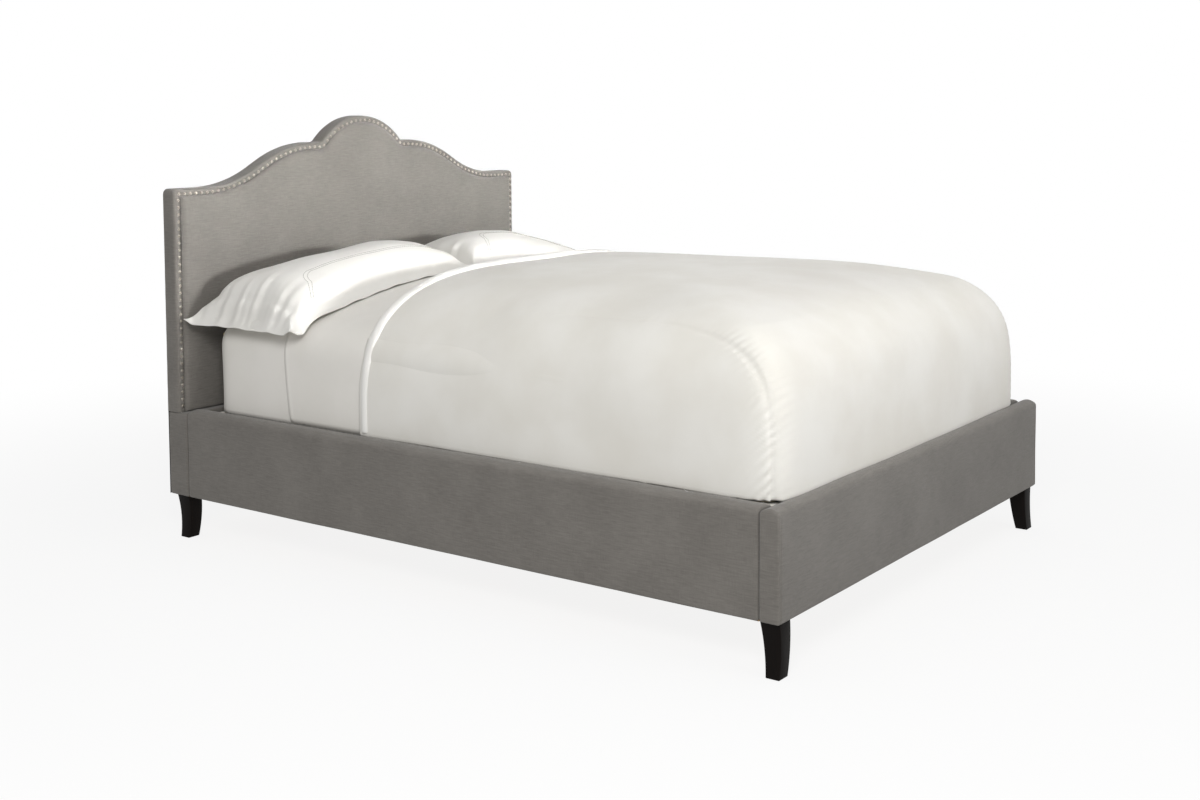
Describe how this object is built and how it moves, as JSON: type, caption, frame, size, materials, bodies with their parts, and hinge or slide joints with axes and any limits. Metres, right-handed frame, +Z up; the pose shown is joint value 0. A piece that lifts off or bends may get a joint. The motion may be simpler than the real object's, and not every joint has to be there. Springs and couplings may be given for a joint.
{
  "type": "upholstered bed",
  "caption": "Queen bed with a camelback upholstered headboard, nailhead trim, padded rails on short sabre legs, box foundation, mattress and white bedding.",
  "frame": {"origin": "centre of the footprint, on the floor", "axes": "+Z up, +Y towards the headboard, +X to the right as seen from the foot of the bed"},
  "size_m": [1.68, 2.23, 1.34],
  "materials": {
    "grey_linen": "slubby plain weave, matt",
    "dust_cloth": "black non-woven cloth",
    "plywood": "raw plywood",
    "pine": "planed softwood",
    "espresso_wood": "dark stain, satin lacquer",
    "nail_silver": "antique silver plating",
    "zinc_steel": "zinc plated",
    "leveller_nylon": "moulded nylon",
    "ticking": "woven ticking",
    "foam": "open cell foam",
    "white_cotton": "smooth percale, soft sheen"
  },
  "bodies": {
    "frame": {"centre_leg_2": "pine", "centre_leg_3": "pine", "centre_leg_4": "pine", "centre_leg_screws": "zinc_steel", "foot_leg_left": "espresso_wood", "foot_leg_right": "espresso_wood", "footboard_core": "pine", "footboard_cover": "grey_linen", "head_leg_left": "espresso_wood", "head_leg_right": "espresso_wood", "headboard_back_sheet": "dust_cloth", "headboard_base_core": "pine", "headboard_base_cover": "grey_linen", "headboard_border": "grey_linen", "headboard_field": "grey_linen", "headboard_panel": "plywood", "headboard_post_left": "pine", "headboard_post_right": "pine", "headboard_stretcher_high": "pine", "headboard_stretcher_low": "pine", "hook_plate_foot_left": "zinc_steel", "hook_plate_foot_right": "zinc_steel", "hook_plate_head_left": "zinc_steel", "hook_plate_head_right": "zinc_steel", "hook_plate_screws": "zinc_steel", "leg_bolts": "zinc_steel", "leg_plates": "zinc_steel", "nailhead_trim": "nail_silver", "panel_screws": "zinc_steel", "side_rail_core_left": "pine", "side_rail_core_right": "pine", "side_rail_cover_left": "grey_linen", "side_rail_cover_right": "grey_linen", "slat_1": "pine", "slat_2": "pine", "slat_3": "pine", "slat_4": "pine", "slat_5": "pine", "slat_cleat_left": "pine", "slat_cleat_right": "pine", "slat_screws": "zinc_steel"},
    "foundation": {"foundation_frame": "pine", "foundation_cover": "ticking", "foundation_dust_sheet": "dust_cloth"},
    "mattress": {"mattress_core": "foam", "mattress_cover": "ticking", "fitted_sheet": "white_cotton", "top_sheet": "white_cotton"},
    "duvet": {"duvet": "white_cotton"},
    "pillow_left": {"pillow_left": "white_cotton"},
    "pillow_right": {"pillow_right": "white_cotton"},
    "leveller_2": {"leveller_2": "leveller_nylon"},
    "leveller_3": {"leveller_3": "leveller_nylon"},
    "leveller_4": {"leveller_4": "leveller_nylon"}
  },
  "joints": [
    {"name": "foundation_lift", "type": "slide", "parent": "frame", "child": "foundation", "axis": [0, 0, 1], "range_m": [0, 0.3]},
    {"name": "mattress_lift", "type": "slide", "parent": "foundation", "child": "mattress", "axis": [0, 0, 1], "range_m": [0, 0.3]},
    {"name": "duvet_lift", "type": "slide", "parent": "mattress", "child": "duvet", "axis": [0, 0, 1], "range_m": [0, 0.5]},
    {"name": "pillow_left_lift", "type": "slide", "parent": "mattress", "child": "pillow_left", "axis": [0, 0, 1], "range_m": [0, 0.35]},
    {"name": "pillow_right_lift", "type": "slide", "parent": "mattress", "child": "pillow_right", "axis": [0, 0, 1], "range_m": [0, 0.35]},
    {"name": "leveller_2_screw", "type": "slide", "parent": "frame", "child": "leveller_2", "axis": [0, 0, 1], "range_m": [0, 0.015]},
    {"name": "leveller_3_screw", "type": "slide", "parent": "frame", "child": "leveller_3", "axis": [0, 0, 1], "range_m": [0, 0.015]},
    {"name": "leveller_4_screw", "type": "slide", "parent": "frame", "child": "leveller_4", "axis": [0, 0, 1], "range_m": [0, 0.015]}
  ]
}
